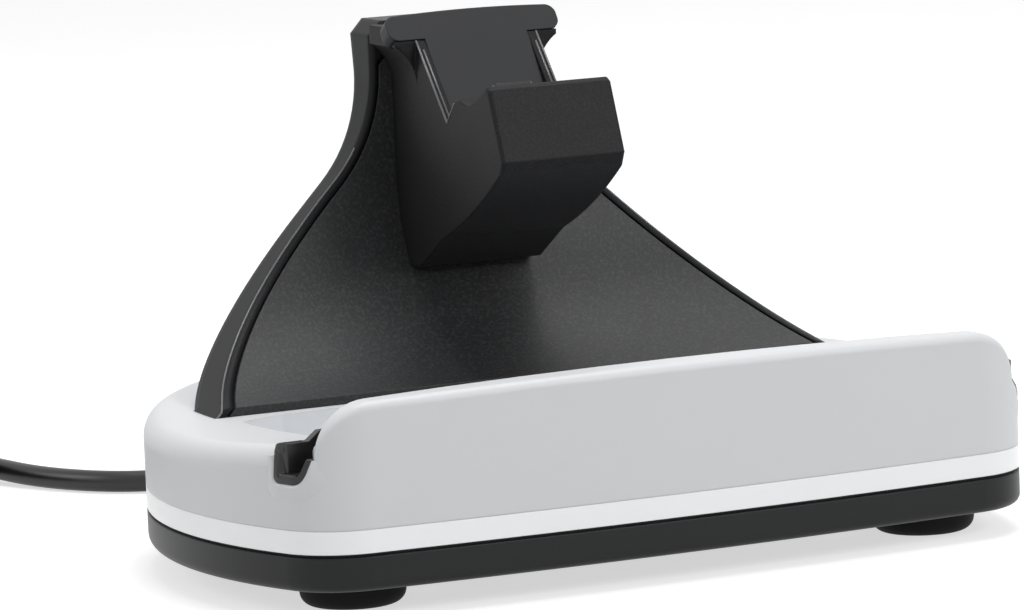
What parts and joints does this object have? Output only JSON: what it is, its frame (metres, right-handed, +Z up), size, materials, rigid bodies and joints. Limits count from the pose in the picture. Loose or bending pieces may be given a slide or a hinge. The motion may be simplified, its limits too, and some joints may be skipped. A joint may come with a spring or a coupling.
{
  "type": "handheld console charging stand",
  "caption": "Low white base with a light strip, a raised front wall and a swept black upright whose cradle holds a handheld console on a charging plug, with a supply lead.",
  "frame": {"origin": "on the surface that the feet stand on, under the middle of the stand's box without the lead", "axes": "+X to the right along the front wall, +Y from the front wall to the upright, +Z up"},
  "size_m": [0.209, 0.223, 0.0948],
  "materials": {
    "white_shell": "satin moulded white plastic",
    "light_diffuser": "milky white diffuser",
    "black_pan": "satin moulded black plastic",
    "black_liner": "satin moulded black plastic",
    "black_panel": "fine-grained matt black plastic",
    "black_rim": "satin moulded black plastic",
    "black_cradle": "fine matt black plastic",
    "grey_backrest": "matt dark grey plastic",
    "plug_steel": "drawn steel shell",
    "plug_insulator": "black moulded insulator",
    "circuit_board": "green solder mask",
    "board_components": "black packages",
    "light_emitter": "pale emitter packages",
    "screw_steel": "plated steel",
    "cord_jacket": "satin black soft plastic",
    "cord_tie": "woven hook tape",
    "foot_rubber": "matt black rubber"
  },
  "bodies": {
    "root": {"base_shell": "white_shell", "light_ring": "light_diffuser", "bottom_cover": "black_pan", "channel_liner": "black_liner", "stand_front_panel": "black_panel", "stand_rear_cover": "black_rim", "cradle_body": "black_cradle", "backrest_plate": "grey_backrest", "charging_plug_shell": "plug_steel", "supply_plug_shell": "plug_steel", "charging_plug_core": "plug_insulator", "plug_holder": "plug_insulator", "supply_plug_tongue": "plug_insulator", "plug_board": "circuit_board", "main_board": "circuit_board", "board_parts": "board_components", "light_emitters": "light_emitter", "base_screws": "screw_steel", "stand_screws": "screw_steel", "board_screws": "screw_steel", "cradle_screws": "screw_steel", "cord_grommet": "cord_jacket", "supply_cord": "cord_jacket", "cord_tail": "cord_jacket", "cord_coil": "cord_jacket", "supply_plug_grip": "cord_jacket", "inner_lead": "cord_jacket", "cord_tie": "cord_tie", "foot_front_left": "foot_rubber", "foot_front_right": "foot_rubber", "foot_rear_left": "foot_rubber", "foot_rear_right": "foot_rubber"}
  },
  "joints": []
}
